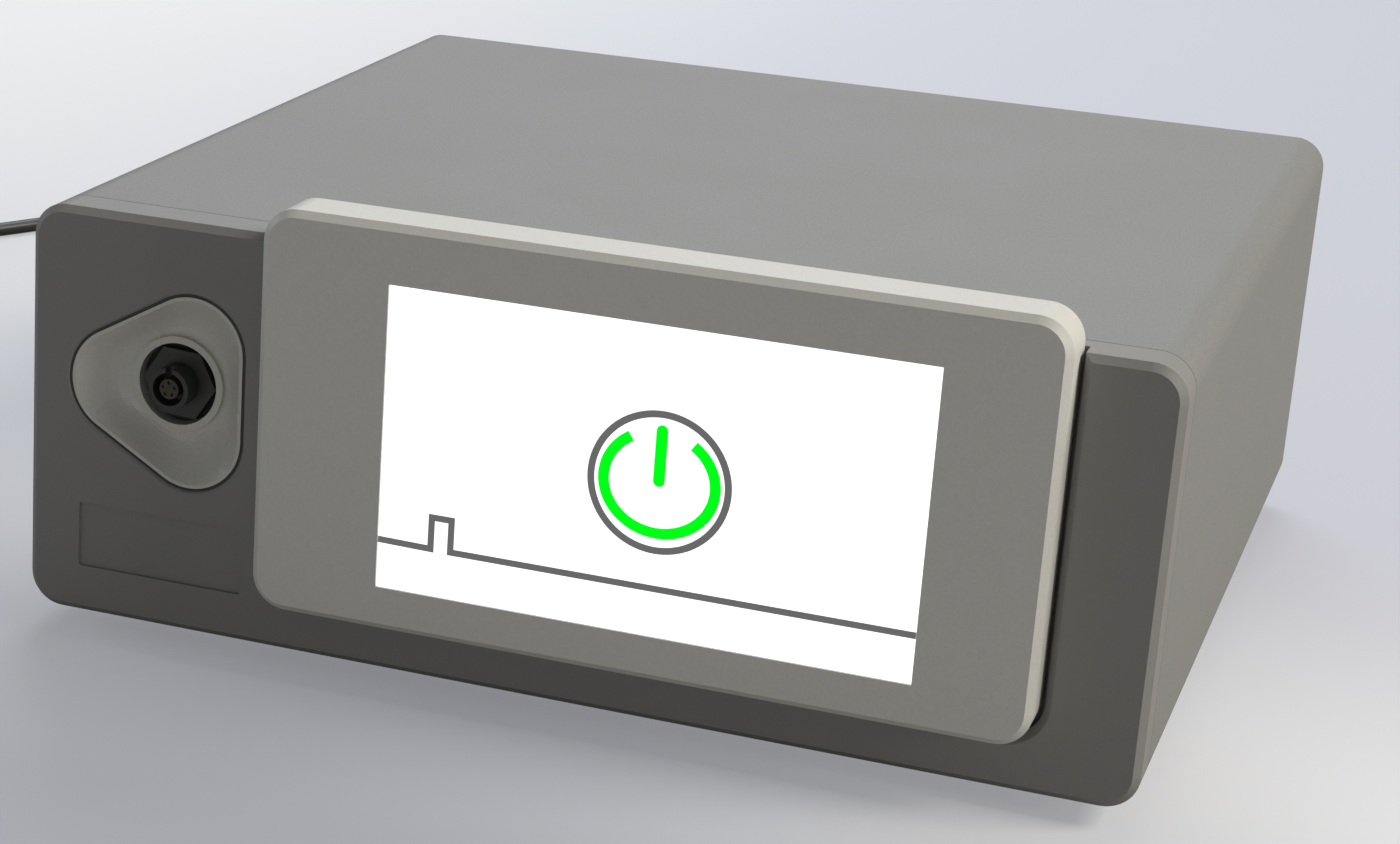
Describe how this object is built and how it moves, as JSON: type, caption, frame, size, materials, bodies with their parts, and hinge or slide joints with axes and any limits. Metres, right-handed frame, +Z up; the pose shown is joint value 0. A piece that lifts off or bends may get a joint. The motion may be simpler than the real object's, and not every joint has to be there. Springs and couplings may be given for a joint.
{
  "type": "electroporator",
  "caption": "Bench electroporator: grey metal case, raised display pod with touch screen, recessed output socket, rear switch, fan, fuse and mains lead.",
  "frame": {"origin": "on the bench, under the middle of the instrument's box without its free mains lead", "axes": "+X to the right seen from the front, the front faces -Y, +Z up"},
  "size_m": [0.6614, 0.4798, 0.1403],
  "materials": {
    "case_paint": "fine textured powder coat, warm light grey",
    "panel_paint": "fine textured powder coat, dark grey",
    "rear_paint": "fine textured powder coat, dark grey",
    "pod_paint": "fine textured powder coat, light grey",
    "satin_cup": "satin anodised, with a bright edge",
    "socket_black": "black, half gloss",
    "insert_tan": "tan moulding",
    "brass": "turned",
    "bright_steel": "zinc plated",
    "black_steel": "blackened",
    "foot_rubber": "matt black",
    "wire_jacket": "smooth",
    "screen_glass": "lit screen under clear glass",
    "board_green": "solder mask",
    "part_black": "moulded",
    "header_white": "moulded",
    "ribbon_grey": "flat cable",
    "capacitor_sleeve": "shrink sleeve",
    "sink_aluminium": "extruded",
    "relay_blue": "moulded",
    "toroid_tape": "wound tape",
    "fan_black": "moulded",
    "rocker_red": "moulded",
    "fuse_glass": "clear",
    "lead_jacket": "smooth soft plastic",
    "tie_black": "hook and loop band",
    "plug_black": "moulded",
    "pin_metal": "polished"
  },
  "bodies": {
    "chassis": {"case_sleeve": "case_paint", "front_panel": "panel_paint", "rear_panel": "rear_paint", "base_tray": "bright_steel", "tie_rods": "bright_steel", "rear_screws": "black_steel", "feet": "foot_rubber", "foot_screws": "bright_steel", "connector_cup": "satin_cup", "cup_screws": "bright_steel", "socket_body": "socket_black", "socket_insert": "insert_tan", "socket_contacts": "brass", "socket_seal": "foot_rubber", "socket_locknut": "bright_steel", "output_harness": "wire_jacket", "pod_bezel": "pod_paint", "touch_glass": "screen_glass", "lcd_panel": "bright_steel", "lcd_bracket": "bright_steel", "display_board": "board_green", "display_screws": "bright_steel", "pod_back": "rear_paint", "pod_screws": "bright_steel", "pod_gasket": "foot_rubber", "pod_mount_screws": "bright_steel", "display_ribbon": "ribbon_grey", "main_board": "board_green", "main_board_parts": "part_black", "pulse_board": "board_green", "capacitor_bank": "capacitor_sleeve", "heat_sink": "sink_aluminium", "power_transistors": "part_black", "output_relays": "relay_blue", "pulse_board_headers": "header_white", "supply_board": "board_green", "supply_board_parts": "part_black", "board_standoffs": "brass", "board_screws": "bright_steel", "mains_transformer": "toroid_tape", "transformer_clamp": "bright_steel", "mains_harness": "wire_jacket", "fan_frame": "fan_black", "fan_screws": "black_steel", "switch_frame": "part_black", "fuse_holder": "part_black", "fuse_nut": "part_black", "strain_relief": "lead_jacket", "gland_nut": "part_black", "cord_run": "lead_jacket", "cord_coil": "lead_jacket", "coil_tie": "tie_black", "plug_body": "plug_black", "plug_pins": "pin_metal"},
    "fan_wheel": {"fan_rotor": "fan_black"},
    "power_rocker": {"switch_rocker": "rocker_red"},
    "fuse_carrier": {"fuse_cap": "part_black", "fuse_link": "fuse_glass"}
  },
  "joints": [
    {"name": "fan_spin", "type": "hinge", "parent": "chassis", "child": "fan_wheel", "pos_m": [0.095, 0.14, 0.06775], "axis": [0, 1, 0], "continuous": true},
    {"name": "rocker_pivot", "type": "hinge", "parent": "chassis", "child": "power_rocker", "pos_m": [-0.075, 0.1515, 0.08], "axis": [1, 0, 0], "range_deg": [0, 20]},
    {"name": "fuse_turn", "type": "hinge", "parent": "chassis", "child": "fuse_carrier", "pos_m": [-0.03, 0.15, 0.08], "axis": [0, 1, 0], "range_deg": [0, 90]}
  ]
}
